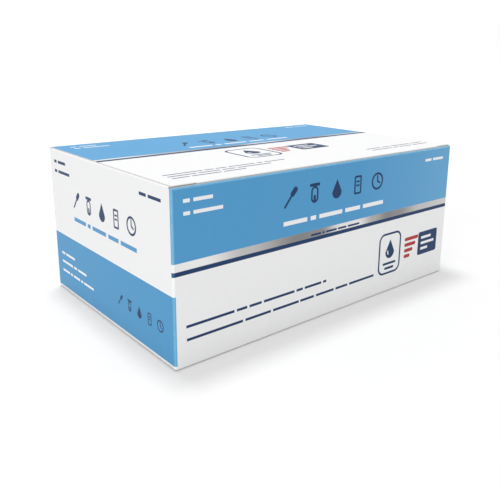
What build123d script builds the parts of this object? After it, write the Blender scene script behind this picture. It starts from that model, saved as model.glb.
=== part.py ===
from build123d import *

import math
import os

# Tuck-top paperboard carton for a set of 25 rapid test strips, with its packed contents.
# Millimetres, +Z up, long front panel toward -Y, origin on the table under the middle.

# Paperboard of the carton
BOARD = 0.5
CORNER_RADIUS = 1.2
FOLD_RADIUS = 0.9
GLUE_FILM = 0.1

# Lid, its tuck flap and the crease at the back
LID_SIDE_INSET = 0.8
LID_FRONT_INSET = 0.4
LID_STEP = 1.0
TUCK_LENGTH = 20.0
TUCK_CLEARANCE = 0.25
TUCK_SIDE_INSET = 1.8
TUCK_CORNER_RADIUS = 9.0
SLIT_LENGTH = 13.0
SLIT_WIDTH = 0.3
CREASE_GAP = 0.3
CREASE_DROP = 0.4

# Dust flaps under the lid
DUST_LENGTH = 64.0
DUST_LID_GAP = 0.05
DUST_FRONT_INSET = 2.1
DUST_BACK_INSET = 1.4
DUST_SHOULDER = 14.0
DUST_TAPER = 9.0
DUST_CORNER_RADIUS = 7.0

# Glue seam behind the right end of the back panel
SEAM_WIDTH = 16.0
SEAM_END_CUT = 5.0
SEAM_EDGE_INSET = 0.7

# Glued bottom: two long flaps that meet along a stepped line, two short flaps above them
BOTTOM_STEP = 12.0
BOTTOM_STEP_RUN = 22.0
BOTTOM_SEAM_GAP = 0.6
BOTTOM_END_INSET = 1.5
SHORT_FLAP_LENGTH = 58.0
SHORT_FLAP_TIP = 74.0
SHORT_FLAP_INSET = 1.4
GLUE_PATCH = 30.0

# Strips of peel packs, each pack with one swab
PACKS_PER_STRIP = 5
STRIP_COUNT = 5
PACK_LENGTH = 204.0
PACK_WIDTH = 25.5
PACK_PAPER = 0.4
SHAFT_LENGTH = 128.0
SHAFT_RIDGE_WIDTH = 6.0
SHAFT_RIDGE_HEIGHT = 2.4
SHAFT_RIDGE_TAPER = 32.0
TIP_LENGTH = 24.0
TIP_RIDGE_WIDTH = 11.0
TIP_RIDGE_HEIGHT = 4.8
TIP_RIDGE_TAPER = 28.0
TIP_END_DISTANCE = 26.0
RIDGE_CORNER_SHARE = 0.32
PERFORATION_WIDTH = 0.4
PERFORATION_DEPTH = 0.15

# Foil pouches, each with one test strip, standing on edge
POUCH_COUNT = 25
POUCH_LENGTH = 125.0
POUCH_HEIGHT = 32.0
POUCH_THICKNESS = 3.4
POUCH_FOIL = 0.3
POUCH_SEAL = 5.5
POUCH_CORNER_CUT = 3.0
POUCH_SLOPE = 58.0
POUCH_NOTCH = 1.6

# Closed inner box that holds the extraction tubes
TUBE_LENGTH = 75.0
TUBE_DIAMETER = 12.0
TUBE_LAYERS = 3
TUBE_ROOM = 1.1
TUBE_BOX_SLIT = 0.3
TUBE_BOX_THUMB_RADIUS = 8.0

# Foam block that holds the dropper bottles
BLOCK_DEPTH = 51.0
BLOCK_HEIGHT = 25.0
BLOCK_FLOOR = 3.0
HOLE_CLEARANCE = 0.3

# Dropper bottles: two of reagent
REAGENT_DIAMETER = 23.0
REAGENT_BODY_HEIGHT = 31.0
REAGENT_NECK_DIAMETER = 12.0
REAGENT_CAP_DIAMETER = 16.5
REAGENT_TOTAL_HEIGHT = 52.0
SHOULDER_HEIGHT = 3.5
NECK_HEIGHT = 7.0
NECK_WALL = 2.2
TIP_FLANGE_HEIGHT = 1.0
TIP_PLUG_DEPTH = 5.0
TIP_NOZZLE_DIAMETER = 3.2
TIP_NOZZLE_ROOM = 1.4

# Vials: two small ones of control liquid, with push-on caps
CONTROL_DIAMETER = 15.5
CONTROL_BODY_HEIGHT = 24.0
CONTROL_NECK_DIAMETER = 11.0
CONTROL_NECK_HEIGHT = 6.0
CONTROL_CAP_HEIGHT = 9.0

# Ribbed caps of bottles and vials
CAP_RIBS = 18
CAP_DRAFT = 1.5
CAP_WALL = 1.2
CAP_CLEARANCE = 0.15
CAP_SEAT_GAP = 0.1

# Printed papers
CARD_SIDE_INSET = 6.0
CARD_THICKNESS = 0.4
LEAFLET_LENGTH = 104.0
LEAFLET_WIDTH = 66.0
LEAFLET_LAYERS = 4
LEAFLET_PAPER = 0.4
LEAFLET_GAP = 0.2

# Room around the packed goods
END_ROOM = 2.5
SIDE_ROOM = 3.0
FRONT_ROOM = 3.0
GOODS_GAP = 1.4
REST_GAP = 0.1
POUCH_GAP = 0.2
HEAD_ROOM = 2.65

# The goods set the inside of the carton
pouch_pitch = POUCH_THICKNESS + POUCH_GAP
pouch_row = POUCH_COUNT * pouch_pitch
strip_width = PACKS_PER_STRIP * PACK_WIDTH
strip_height = PACK_PAPER + TIP_RIDGE_HEIGHT
tube_box_depth = TUBE_LENGTH + 2 * TUBE_ROOM
tube_box_height = TUBE_LAYERS * TUBE_DIAMETER + 2 * TUBE_ROOM
leaflet_pitch = LEAFLET_PAPER + LEAFLET_GAP
leaflet_height = (LEAFLET_LAYERS - 1) * leaflet_pitch + LEAFLET_PAPER

inside_length = PACK_LENGTH + 2 * END_ROOM
inside_width = max(
    FRONT_ROOM + tube_box_depth + BLOCK_DEPTH + 2 * GOODS_GAP,
    strip_width + 2 * SIDE_ROOM,
    POUCH_LENGTH + 2 * SIDE_ROOM,
)
floor_top = 2 * BOARD + GLUE_FILM
strips_top = floor_top + STRIP_COUNT * (strip_height + REST_GAP)
card_base = strips_top + REST_GAP
goods_base = card_base + CARD_THICKNESS + REST_GAP
bottle_base = goods_base + BLOCK_FLOOR + REST_GAP
goods_top = max(
    bottle_base + REAGENT_TOTAL_HEIGHT,
    bottle_base + CONTROL_BODY_HEIGHT + CAP_SEAT_GAP + CONTROL_CAP_HEIGHT,
    goods_base + POUCH_HEIGHT,
    goods_base + tube_box_height + REST_GAP + leaflet_height,
)

# The outside of the carton
half_length = inside_length / 2 + BOARD
half_width = inside_width / 2 + BOARD
dust_base = goods_top + HEAD_ROOM
dust_top = dust_base + BOARD
lid_base = dust_top + DUST_LID_GAP
height = lid_base + BOARD

# Hinge line of the lid: where the middle planes of the lid and the back panel cross
hinge_y = half_width - BOARD / 2
hinge_z = height - BOARD / 2
front_top = height - LID_STEP
back_top = hinge_z - CREASE_DROP


def block(low, high):
    """A box given by its lowest and highest corners."""
    size = [h - l for l, h in zip(low, high)]
    middle = [(h + l) / 2 for l, h in zip(low, high)]
    return Pos(*middle) * Box(*size)


def bent_board(points, outer_radius):
    """The section of a folded board along its middle line."""
    line = FilletPolyline(*points, radius=outer_radius - BOARD / 2)
    return trace(line, line_width=BOARD)


def rounded_outline(points, radii):
    """A flat outline, each corner rounded by its own radius."""
    face = make_face(Polyline(*points, close=True))
    for (x, y), radius in zip(points, radii):
        if radius > 0:
            corner = face.vertices().sort_by_distance((x, y, 0))[0]
            face = fillet(corner, radius)
    return face


def carton_walls():
    """Four panels and the seam flap, one strip of board folded round the vertical corners."""
    x = half_length - BOARD / 2
    y = half_width - BOARD / 2
    seam_y = y - BOARD - GLUE_FILM
    path = [
        (x - SEAM_WIDTH, seam_y),
        (x, seam_y),
        (x, -y),
        (-x, -y),
        (-x, y),
        (half_length - SEAM_EDGE_INSET, y),
    ]
    section = bent_board(path, CORNER_RADIUS)
    walls = Pos(0, 0, FOLD_RADIUS) * extrude(section, back_top - FOLD_RADIUS)
    film_x = x - CORNER_RADIUS
    film = block(
        (x - SEAM_WIDTH, y - BOARD / 2 - GLUE_FILM, FOLD_RADIUS + SEAM_END_CUT),
        (film_x, y - BOARD / 2, dust_base - SEAM_END_CUT),
    )
    # The seam flap's free end is cut back at the top and the bottom
    reach = half_length - CORNER_RADIUS
    for z, away in ((floor_top, 1), (dust_base, -1)):
        outline = Polyline(
            (x - SEAM_WIDTH - BOARD, z - away * 2 * SEAM_END_CUT),
            (x - SEAM_WIDTH - BOARD, z + away * SEAM_END_CUT),
            (reach, z + away * SEAM_END_CUT / 2),
            (reach, z - away * 2 * SEAM_END_CUT),
            close=True,
        )
        cutter = Plane.XZ * make_face(outline)
        cutter = Pos(0, y - BOARD / 2 - GLUE_FILM, 0) * extrude(cutter, 2 * BOARD)
        walls -= cutter
    walls += film
    # Front panel ends at its cut edge, side panels at the folds of their flaps
    walls -= block(
        (-half_length, -half_width, front_top),
        (half_length, -half_width + CORNER_RADIUS, height),
    )
    side_y = half_width - CORNER_RADIUS
    for side in (-1, 1):
        low_x, high_x = sorted((side * (half_length - BOARD * 1.5), side * half_length))
        walls -= block(
            (low_x, -side_y, dust_top - FOLD_RADIUS),
            (high_x, side_y, height),
        )
        walls -= block(
            (low_x, -side_y, 0),
            (high_x, side_y, BOARD + GLUE_FILM + FOLD_RADIUS),
        )
    return walls


def side_fold(flap_length, flap_middle_z, wall_z, outline):
    """A flap folded in from the right side panel, cut to an outline seen from above."""
    x = half_length - BOARD / 2
    path = [(x, wall_z), (x, flap_middle_z), (half_length - flap_length, flap_middle_z)]
    section = Plane.XZ * bent_board(path, FOLD_RADIUS)
    flap = extrude(section, half_width, both=True)
    return flap & extrude(outline, height)


def dust_flap():
    """Right dust flap: shoulder at the fold, then tapered, with round free corners."""
    fold_x = half_length
    tip_x = half_length - DUST_LENGTH
    front_y = -half_width + DUST_FRONT_INSET
    back_y = half_width - DUST_BACK_INSET
    outline = rounded_outline(
        [
            (fold_x, front_y),
            (fold_x - DUST_SHOULDER, front_y),
            (tip_x, front_y + DUST_TAPER),
            (tip_x, back_y - DUST_TAPER),
            (fold_x - DUST_SHOULDER, back_y),
            (fold_x, back_y),
        ],
        [0, 0, DUST_CORNER_RADIUS, DUST_CORNER_RADIUS, 0, 0],
    )
    wall_z = dust_top - 2 * FOLD_RADIUS
    return side_fold(DUST_LENGTH, dust_top - BOARD / 2, wall_z, outline)


def short_bottom_flap():
    """Right short flap of the bottom, a trapezium that lies on the long flaps."""
    tip_x = half_length - SHORT_FLAP_LENGTH
    edge_y = half_width - SHORT_FLAP_INSET
    outline = make_face(
        Polyline(
            (half_length, -edge_y),
            (half_length, edge_y),
            (tip_x, SHORT_FLAP_TIP / 2),
            (tip_x, -SHORT_FLAP_TIP / 2),
            close=True,
        )
    )
    base = BOARD + GLUE_FILM
    return side_fold(SHORT_FLAP_LENGTH, base + BOARD / 2, base + 2 * FOLD_RADIUS, outline)


def long_bottom_flaps():
    """Front and back bottom flaps, which meet along a line that steps across the middle."""
    y = half_width - BOARD / 2
    z = BOARD / 2
    path = [(-y, 2 * FOLD_RADIUS), (-y, z), (y, z), (y, 2 * FOLD_RADIUS)]
    section = Plane.YZ * bent_board(path, FOLD_RADIUS)
    flaps = extrude(section, half_length - CORNER_RADIUS, both=True)
    end = half_length - BOTTOM_END_INSET
    flaps &= block((-end, -half_width, 0), (end, half_width, 3 * FOLD_RADIUS))
    seam = Polyline(
        (-half_length, BOTTOM_STEP),
        (-BOTTOM_STEP_RUN, BOTTOM_STEP),
        (BOTTOM_STEP_RUN, -BOTTOM_STEP),
        (half_length, -BOTTOM_STEP),
    )
    return flaps - extrude(trace(seam, line_width=BOTTOM_SEAM_GAP), BOARD)


def glue_patches():
    """Four triangles of glue that hold the short flaps to the long ones."""
    corner_x = half_length - FOLD_RADIUS - BOARD
    corner_y = half_width - SHORT_FLAP_INSET - BOARD
    inward = GLUE_PATCH * (corner_y - SHORT_FLAP_TIP / 2) / SHORT_FLAP_LENGTH
    patches = []
    for side_x in (-1, 1):
        for side_y in (-1, 1):
            outline = Polyline(
                (side_x * corner_x, side_y * (corner_y - BOARD)),
                (side_x * (corner_x - GLUE_PATCH), side_y * (corner_y - BOARD - inward)),
                (side_x * corner_x, side_y * (corner_y - GLUE_PATCH)),
                close=True,
            )
            patches.append(Pos(0, 0, BOARD) * extrude(make_face(outline), GLUE_FILM))
    return patches


def carton():
    """The folded and glued sheet: walls, dust flaps and bottom."""
    sheet = carton_walls() + long_bottom_flaps()
    for flap in (dust_flap(), short_bottom_flap()):
        sheet += flap
        sheet += mirror(flap, about=Plane.YZ)
    for patch in glue_patches():
        sheet += patch
    return sheet


def lid():
    """Top panel with its tuck flap, one piece folded at the front."""
    panel_x = half_length - LID_SIDE_INSET
    face_y = -half_width + BOARD + TUCK_CLEARANCE
    face_z = height - FOLD_RADIUS
    tip_z = face_z - TUCK_LENGTH
    # The flap leans in so far that its free edge swings clear of the front panel
    reach = hinge_y - face_y
    tip_y = hinge_y - math.sqrt(reach**2 - (hinge_z - tip_z) ** 2)
    slope = (tip_y - face_y) / (face_z - tip_z)
    inner = BOARD / 2 * math.hypot(1, slope)
    top_y = face_y + inner - slope * (hinge_z - face_z)
    path = [
        (hinge_y - CREASE_GAP, hinge_z),
        (top_y, hinge_z),
        (tip_y + inner, tip_z),
    ]
    section = Plane.YZ * bent_board(path, FOLD_RADIUS)
    sheet = extrude(section, panel_x, both=True)
    # Outline of the tuck flap, seen from the front
    flap_x = half_length - TUCK_SIDE_INSET
    side = panel_x + BOARD
    slit_z = front_top - LID_FRONT_INSET / 2
    low_z = tip_z - BOARD
    outline = rounded_outline(
        [
            (-flap_x, slit_z),
            (-flap_x, low_z),
            (flap_x, low_z),
            (flap_x, slit_z),
        ],
        [0, TUCK_CORNER_RADIUS, TUCK_CORNER_RADIUS, 0],
    )
    front = Plane.XZ * outline
    keep = extrude(front, half_width) + block(
        (-side, -half_width, slit_z), (side, half_width, height)
    )
    sheet &= keep
    # At both ends the crease is cut through, and the panel ends at a straight raw edge
    slit_x = panel_x - SLIT_LENGTH
    bend_y = face_y + FOLD_RADIUS
    edge_y = -half_width + BOARD + LID_FRONT_INSET
    for end in (-1, 1):
        low_x, high_x = sorted((end * slit_x, end * side))
        sheet -= block((low_x, -half_width, lid_base - SLIT_WIDTH), (high_x, bend_y, height))
        low_x, high_x = sorted((end * slit_x, end * panel_x))
        sheet += block((low_x, edge_y, lid_base), (high_x, bend_y, height))
    return sheet


def ridge(length, width, rise, taper):
    """Film drawn over a long thing: sloping sides on an outline with cut corners."""
    outline = chamfer(Rectangle(length, width).vertices(), width * RIDGE_CORNER_SHARE)
    return extrude(outline, rise, taper=taper)


def swab_strip(base_z):
    """A strip of peel packs side by side, with a film raised over each swab."""
    strip = extrude(Rectangle(PACK_LENGTH, strip_width), PACK_PAPER)
    tip_x = PACK_LENGTH / 2 - TIP_END_DISTANCE
    shaft_x = tip_x - SHAFT_LENGTH / 2
    shaft = ridge(SHAFT_LENGTH, SHAFT_RIDGE_WIDTH, SHAFT_RIDGE_HEIGHT, SHAFT_RIDGE_TAPER)
    tip = ridge(TIP_LENGTH, TIP_RIDGE_WIDTH, TIP_RIDGE_HEIGHT, TIP_RIDGE_TAPER)
    for index in range(PACKS_PER_STRIP):
        y = (index - (PACKS_PER_STRIP - 1) / 2) * PACK_WIDTH
        strip += Pos(shaft_x, y, PACK_PAPER) * shaft
        strip += Pos(tip_x, y, PACK_PAPER) * tip
        if index > 0:
            seam_y = y - PACK_WIDTH / 2
            top = PACK_PAPER - PERFORATION_DEPTH
            strip -= block(
                (-PACK_LENGTH / 2, seam_y - PERFORATION_WIDTH / 2, top),
                (PACK_LENGTH / 2, seam_y + PERFORATION_WIDTH / 2, PACK_PAPER),
            )
    return Pos(0, 0, base_z) * strip


def test_pouch():
    """A sealed foil pouch with a flat seal all round, standing on its long edge."""
    foil = extrude(Rectangle(POUCH_LENGTH, POUCH_HEIGHT), POUCH_FOIL / 2, both=True)
    for end in (-1, 1):
        corner = (end * POUCH_LENGTH / 2, POUCH_HEIGHT / 2 - POUCH_SEAL / 2)
        notch = Pos(*corner) * Rot(0, 0, 45) * Rectangle(POUCH_NOTCH, POUCH_NOTCH)
        foil -= extrude(notch, POUCH_FOIL, both=True)
    inner_length = POUCH_LENGTH - 2 * POUCH_SEAL
    inner_height = POUCH_HEIGHT - 2 * POUCH_SEAL
    pillow = chamfer(Rectangle(inner_length, inner_height).vertices(), POUCH_CORNER_CUT)
    rise = (POUCH_THICKNESS - POUCH_FOIL) / 2
    swell = Pos(0, 0, POUCH_FOIL / 2) * extrude(pillow, rise, taper=POUCH_SLOPE)
    foil += swell
    foil += mirror(swell, about=Plane.XY)
    standing = Plane((0, 0, 0), x_dir=(0, 1, 0), z_dir=(1, 0, 0)) * foil
    return Pos(0, 0, POUCH_HEIGHT / 2) * standing


def tube_box(length):
    """Closed inner box: its end flap shows as a slit and a thumb notch."""
    body = Pos(0, 0, tube_box_height / 2) * Box(length, tube_box_depth, tube_box_height)
    slit_x = length / 2 - BOARD - TUBE_BOX_SLIT
    half = tube_box_depth / 2
    body -= block(
        (slit_x, -half, tube_box_height - TUBE_BOX_SLIT),
        (slit_x + TUBE_BOX_SLIT, half, tube_box_height),
    )
    thumb = Pos(slit_x, 0, tube_box_height - BOARD) * Cylinder(
        TUBE_BOX_THUMB_RADIUS, BOARD, align=(Align.CENTER, Align.CENTER, Align.MIN)
    )
    thumb &= block(
        (0, -half, 0),
        (slit_x, half, tube_box_height),
    )
    return body - thumb


def bottle_block(length, holes):
    """Foam block with a blind hole for each dropper bottle."""
    foam = Pos(0, 0, BLOCK_HEIGHT / 2) * Box(length, BLOCK_DEPTH, BLOCK_HEIGHT)
    for x, diameter in holes:
        bore = Cylinder(
            diameter / 2 + HOLE_CLEARANCE,
            BLOCK_HEIGHT,
            align=(Align.CENTER, Align.CENTER, Align.MIN),
        )
        foam -= Pos(x, 0, BLOCK_FLOOR) * bore
    return foam


def turned(points):
    """A solid of revolution from the half section of a round piece."""
    half = Plane.XZ * make_face(Polyline(*points, close=True))
    return revolve(half, Axis.Z)


def ribbed_cap(diameter, base, top, hollow):
    """A cap with flat ribs outside and a turned hollow, given by its half section."""
    outline = Pos(0, 0, base) * RegularPolygon(diameter / 2, CAP_RIBS)
    return extrude(outline, top - base, taper=CAP_DRAFT) - turned(hollow)


def reagent_bottle():
    """Dropper bottle, its plugged-in tip and its screw cap, standing on the origin."""
    radius = REAGENT_DIAMETER / 2
    neck = REAGENT_NECK_DIAMETER / 2
    plug = neck - NECK_WALL
    neck_top = REAGENT_BODY_HEIGHT + NECK_HEIGHT
    plug_end = neck_top - TIP_PLUG_DEPTH
    bottle = turned(
        [
            (0, 0),
            (radius, 0),
            (radius, REAGENT_BODY_HEIGHT - SHOULDER_HEIGHT),
            (neck, REAGENT_BODY_HEIGHT),
            (neck, neck_top),
            (plug, neck_top),
            (plug, plug_end),
            (0, plug_end),
        ]
    )
    ceiling = REAGENT_TOTAL_HEIGHT - CAP_WALL
    nozzle = TIP_NOZZLE_DIAMETER / 2
    nozzle_top = ceiling - TIP_NOZZLE_ROOM
    flange_top = neck_top + TIP_FLANGE_HEIGHT
    tip = turned(
        [
            (0, plug_end),
            (plug, plug_end),
            (plug, neck_top),
            (neck, neck_top),
            (neck, flange_top),
            (nozzle, flange_top),
            (nozzle, nozzle_top),
            (0, nozzle_top),
        ]
    )
    base = REAGENT_BODY_HEIGHT + CAP_SEAT_GAP
    bore = neck + CAP_CLEARANCE
    hollow = [(0, base), (bore, base), (bore, ceiling), (0, ceiling)]
    cap = ribbed_cap(REAGENT_CAP_DIAMETER, base, REAGENT_TOTAL_HEIGHT, hollow)
    return {"bottle": bottle, "tip": tip, "cap": cap}


def control_vial():
    """Small vial and its push-on cap, flush with the vial's side."""
    radius = CONTROL_DIAMETER / 2
    neck = CONTROL_NECK_DIAMETER / 2
    neck_top = CONTROL_BODY_HEIGHT + CONTROL_NECK_HEIGHT
    vial = turned(
        [
            (0, 0),
            (radius, 0),
            (radius, CONTROL_BODY_HEIGHT),
            (neck, CONTROL_BODY_HEIGHT),
            (neck, neck_top),
            (0, neck_top),
        ]
    )
    base = CONTROL_BODY_HEIGHT + CAP_SEAT_GAP
    bore = neck + CAP_CLEARANCE
    hollow_top = neck_top + CAP_CLEARANCE
    hollow = [(0, base), (bore, base), (bore, hollow_top), (0, hollow_top)]
    cap = ribbed_cap(CONTROL_DIAMETER, base, base + CONTROL_CAP_HEIGHT, hollow)
    return {"vial": vial, "cap": cap}


def leaflet():
    """The instructions, one long sheet folded to and fro."""
    half = LEAFLET_LENGTH / 2
    points = []
    for layer in range(LEAFLET_LAYERS):
        z = LEAFLET_PAPER / 2 + layer * leaflet_pitch
        ends = (-half, half) if layer % 2 == 0 else (half, -half)
        points += [(ends[0], z), (ends[1], z)]
    line = FilletPolyline(*points, radius=leaflet_pitch * 0.45)
    section = Plane.XZ * trace(line, line_width=LEAFLET_PAPER)
    return extrude(section, LEAFLET_WIDTH / 2, both=True)


def build():
    """Every piece in its place, by node name."""
    parts = {"carton": carton(), "lid": lid()}
    for index in range(STRIP_COUNT):
        base_z = floor_top + REST_GAP + index * (strip_height + REST_GAP)
        parts[f"swab_strip_{index + 1}"] = swab_strip(base_z)
    inner_x = inside_length / 2
    inner_y = inside_width / 2
    # Pouches stand in a row against the right side
    pouch = test_pouch()
    for index in range(POUCH_COUNT):
        x = inner_x - (index + 0.5) * pouch_pitch
        parts[f"test_pouch_{index + 1:02d}"] = Pos(x, 0, goods_base) * pouch
    # Box of tubes at the front and bottle block behind it fill the rest of the length
    length = inside_length - pouch_row - 2 * GOODS_GAP
    left_x = -inner_x + GOODS_GAP + length / 2
    box_y = -inner_y + FRONT_ROOM + tube_box_depth / 2
    block_y = box_y + tube_box_depth / 2 + GOODS_GAP + BLOCK_DEPTH / 2
    parts["tube_box"] = Pos(left_x, box_y, goods_base) * tube_box(length)
    sizes = {
        "reagent_a": REAGENT_DIAMETER,
        "reagent_b": REAGENT_DIAMETER,
        "control_a": CONTROL_DIAMETER,
        "control_b": CONTROL_DIAMETER,
    }
    # Bottles share out the free length of the block evenly, the largest nearest the middle
    wall = (length - sum(sizes.values())) / (len(sizes) + 1)
    edge = length / 2
    places = {}
    for name, diameter in sizes.items():
        places[name] = edge - wall - diameter / 2
        edge -= wall + diameter
    holes = [(places[name], sizes[name]) for name in sizes]
    parts["bottle_block"] = Pos(left_x, block_y, goods_base) * bottle_block(length, holes)
    reagent = reagent_bottle()
    control = control_vial()
    for name, x in places.items():
        pieces = reagent if name.startswith("reagent") else control
        for piece, solid in pieces.items():
            place = Pos(left_x + x, block_y, bottle_base)
            parts[f"{name}_{piece}"] = place * solid
    # Papers
    card = Rectangle(
        inside_length - 2 * CARD_SIDE_INSET,
        inside_width - 2 * CARD_SIDE_INSET,
    )
    parts["procedure_card"] = Pos(0, 0, card_base) * extrude(card, CARD_THICKNESS)
    paper_z = goods_base + tube_box_height + REST_GAP
    parts["instruction_leaflet"] = Pos(left_x, box_y, paper_z) * leaflet()
    return parts


os.makedirs("parts", exist_ok=True)
for node, shape in build().items():
    export_step(shape, f"parts/{node}.step")
print("carton outside", round(2 * half_length, 3), round(2 * half_width, 3), round(height, 3))
print("hinge", round(hinge_y, 3), round(hinge_z, 3), "goods base", round(goods_base, 3))
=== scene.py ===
import math

import bpy
from mathutils import Matrix, Vector


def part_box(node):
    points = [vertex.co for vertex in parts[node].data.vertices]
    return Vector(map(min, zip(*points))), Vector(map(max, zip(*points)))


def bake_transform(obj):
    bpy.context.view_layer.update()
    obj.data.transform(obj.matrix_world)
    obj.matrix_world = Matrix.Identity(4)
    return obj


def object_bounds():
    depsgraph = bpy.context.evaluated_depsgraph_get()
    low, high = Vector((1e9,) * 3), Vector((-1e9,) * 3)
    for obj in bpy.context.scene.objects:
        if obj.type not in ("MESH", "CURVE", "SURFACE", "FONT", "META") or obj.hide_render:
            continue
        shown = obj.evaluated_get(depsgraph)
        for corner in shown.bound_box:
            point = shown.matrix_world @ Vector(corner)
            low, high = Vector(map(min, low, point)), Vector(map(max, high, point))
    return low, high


# Looks of a printed tuck-top carton with its packed goods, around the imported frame.
# Metres for the pieces, millimetres for the print. +Z up, long front panel toward -Y.

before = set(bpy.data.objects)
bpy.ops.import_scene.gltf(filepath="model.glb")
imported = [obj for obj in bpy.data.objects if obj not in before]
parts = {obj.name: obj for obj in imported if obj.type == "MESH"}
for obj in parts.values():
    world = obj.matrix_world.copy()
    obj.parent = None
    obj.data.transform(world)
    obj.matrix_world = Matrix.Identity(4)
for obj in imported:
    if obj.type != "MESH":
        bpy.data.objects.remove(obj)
cad_low, cad_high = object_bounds()
MM = 0.001

# Size of the carton in millimetres, read from the frame
HALF_LENGTH = cad_high.x / MM
HALF_WIDTH = cad_high.y / MM
HEIGHT = cad_high.z / MM
BOARD = 0.5
CORNER_RADIUS = 1.2
FOLD_RADIUS = 0.9
LID_BASE = HEIGHT - BOARD
DUST_TOP = LID_BASE - 0.05
FRONT_TOP = HEIGHT - 1.0
TUCK_FRONT = -66.5
TUCK_LEAN = 0.055

# The crease between the back panel and the lid: radii, and where the bent strip ends
CREASE_RADIUS = 0.55
CREASE_INNER_RADIUS = CREASE_RADIUS - BOARD
CREASE_END = 0.65
CREASE_INSET = 0.8
CREASE_STEPS = 8
CREASE_STATIONS = 60

# Fields of the print. Long panels: down from the top. Short panels: blue from here down
# to the foot. Lid: forward from the back.
LONG_BLUE_END = 35.4
LONG_SILVER_END = 39.2
LONG_NAVY_END = 41.4
SHORT_BLUE_START = 50.7
SHORT_BLUE_FOOT = 2.3
LID_BLUE_END = 57.9
LID_SILVER_END = 60.4
LID_NAVY_END = 64.3
PRINT_STRETCH = 1.0055
SHORT_PRINT_SHIFT = 0.9

# Middles of the signs and badges: along the panel, and down it or forward on the lid
LONG_SIGNS = (104.0, 15.2)
LONG_BADGE = (153.8, 62.2)
LONG_SIDE_BADGE = (185.5, 62.3)
SHORT_HIGH_SIGNS = (65.5, 26.0)
SHORT_LOW_SIGNS = (101.8, 68.9)
SHORT_LOW_SIGNS_SHRINK = 1.6
LID_SIGNS = (104.5, 36.8)
LID_BADGE = (84.5, 86.5)
LID_SIDE_BADGE = (119.0, 87.1)

# A line so thick that it fills its shape
SOLID = 100.0

# Inks and papers, as linear colours, with a painted sheen and a painted shade among them
COATED_WHITE = (0.85, 0.852, 0.858)
PRINT_BLUE = (0.078, 0.312, 0.58)
# A lighter blue toward the long panels' far ends: painted sheen, not a second ink
PRINT_BLUE_SHEEN = (0.125, 0.372, 0.63)
PRINT_BLUE_DEEP = (0.068, 0.3, 0.56)
PRINT_BLUE_LID = (0.083, 0.338, 0.625)
PRINT_NAVY = (0.006, 0.036, 0.118)
PRINT_RED = (0.42, 0.035, 0.04)
BARE_BOARD = (0.69, 0.675, 0.64)
CUT_EDGE = (0.74, 0.72, 0.68)
FLAP_WHITE = (0.745, 0.742, 0.73)
# Grey for the carton's foot and the lid fold's gap: painted shade, which at the foot also stands
# for rubbed board
RUBBED_AND_SHADED_BOARD = (0.47, 0.465, 0.455)
INK_EDGE = 0.12

# The silver band: place along the panel, and grey
SILVER_GREYS = (
    (0.0, 0.82), (0.07, 0.84), (0.2, 0.5), (0.36, 0.23), (0.44, 0.25), (0.52, 0.78),
    (0.58, 0.8), (0.65, 0.4), (0.71, 0.23), (0.76, 0.26), (0.87, 0.54), (1.0, 0.62),
)

# Colours of the goods
FOIL = (0.83, 0.84, 0.86)
PEEL_PAPER = (0.84, 0.85, 0.86)
PLAIN_BOARD = (0.82, 0.82, 0.81)
FOAM_WHITE = (0.84, 0.845, 0.85)
CARD_WHITE = (0.84, 0.84, 0.83)
THIN_PAPER = (0.83, 0.83, 0.815)
GREY_INK = (0.13, 0.13, 0.14)
NATURAL_PLASTIC = (0.80, 0.81, 0.80)
BOTTLE_WHITE = (0.83, 0.835, 0.83)
LABEL_WHITE = (0.86, 0.86, 0.86)
SEAL_WIDTH = 5.2
SEAL_RIBS_TURN = 5.2
CAP_RIBS = 36
SWAB_STRIPS = 5
PACKS_IN_STRIP = 5
POUCHES = 25
CAP_COLOURS = {
    "reagent_a": (0.55, 0.03, 0.035),
    "reagent_b": (0.78, 0.52, 0.03),
    "control_a": (0.03, 0.14, 0.47),
    "control_b": (0.03, 0.33, 0.12),
}

# Camera: turn, dip and roll in degrees, lens in mm, shift as a share of the frame, place in m
CAMERA_ANGLES = (40.91, 13.869, 0.793)
CAMERA_LENS = 42.652
CAMERA_SHIFT = (-0.04138, -0.09792)
CAMERA_PLACE = (-0.2328, -0.27977, 0.14148)

# Stage
FLOOR_WHITE = (0.88, 0.88, 0.88)
FLOOR_REACH = 12.0
FLOOR_DROP = 0.00005
FLOOR_GLOW = 0.045
FAR_FLOOR_GLOW = 0.3
WORLD_LIGHT = 0.74
LAMP_AIM = (0.0, 0.0, 0.04)

# Lamps: name, place, size, power
LAMPS = (
    ("key", (-1.6, -0.85, 0.5), 1.2, 7.1),
    ("overhead", (0.0, 0.24, 1.6), 0.35, 8.9),
)


# Camera, as the photograph sees the carton
def make_camera():
    azimuth, elevation, roll = (math.radians(angle) for angle in CAMERA_ANGLES)
    forward = Vector((math.sin(azimuth) * math.cos(elevation),
                      math.cos(azimuth) * math.cos(elevation),
                      -math.sin(elevation)))
    level = Vector((math.cos(azimuth), -math.sin(azimuth), 0.0))
    upright = level.cross(forward)
    right = level * math.cos(roll) + upright * math.sin(roll)
    up = upright * math.cos(roll) - level * math.sin(roll)
    data = bpy.data.cameras.new("photo_camera")
    data.lens = CAMERA_LENS
    data.sensor_width = 36.0
    data.shift_x, data.shift_y = CAMERA_SHIFT
    data.clip_start = 0.01
    data.clip_end = 20.0
    camera = bpy.data.objects.new("photo_camera", data)
    bpy.context.scene.collection.objects.link(camera)
    axes = Matrix((right, up, -forward)).transposed().to_4x4()
    camera.matrix_world = Matrix.Translation(CAMERA_PLACE) @ axes
    bpy.context.scene.camera = camera


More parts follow.
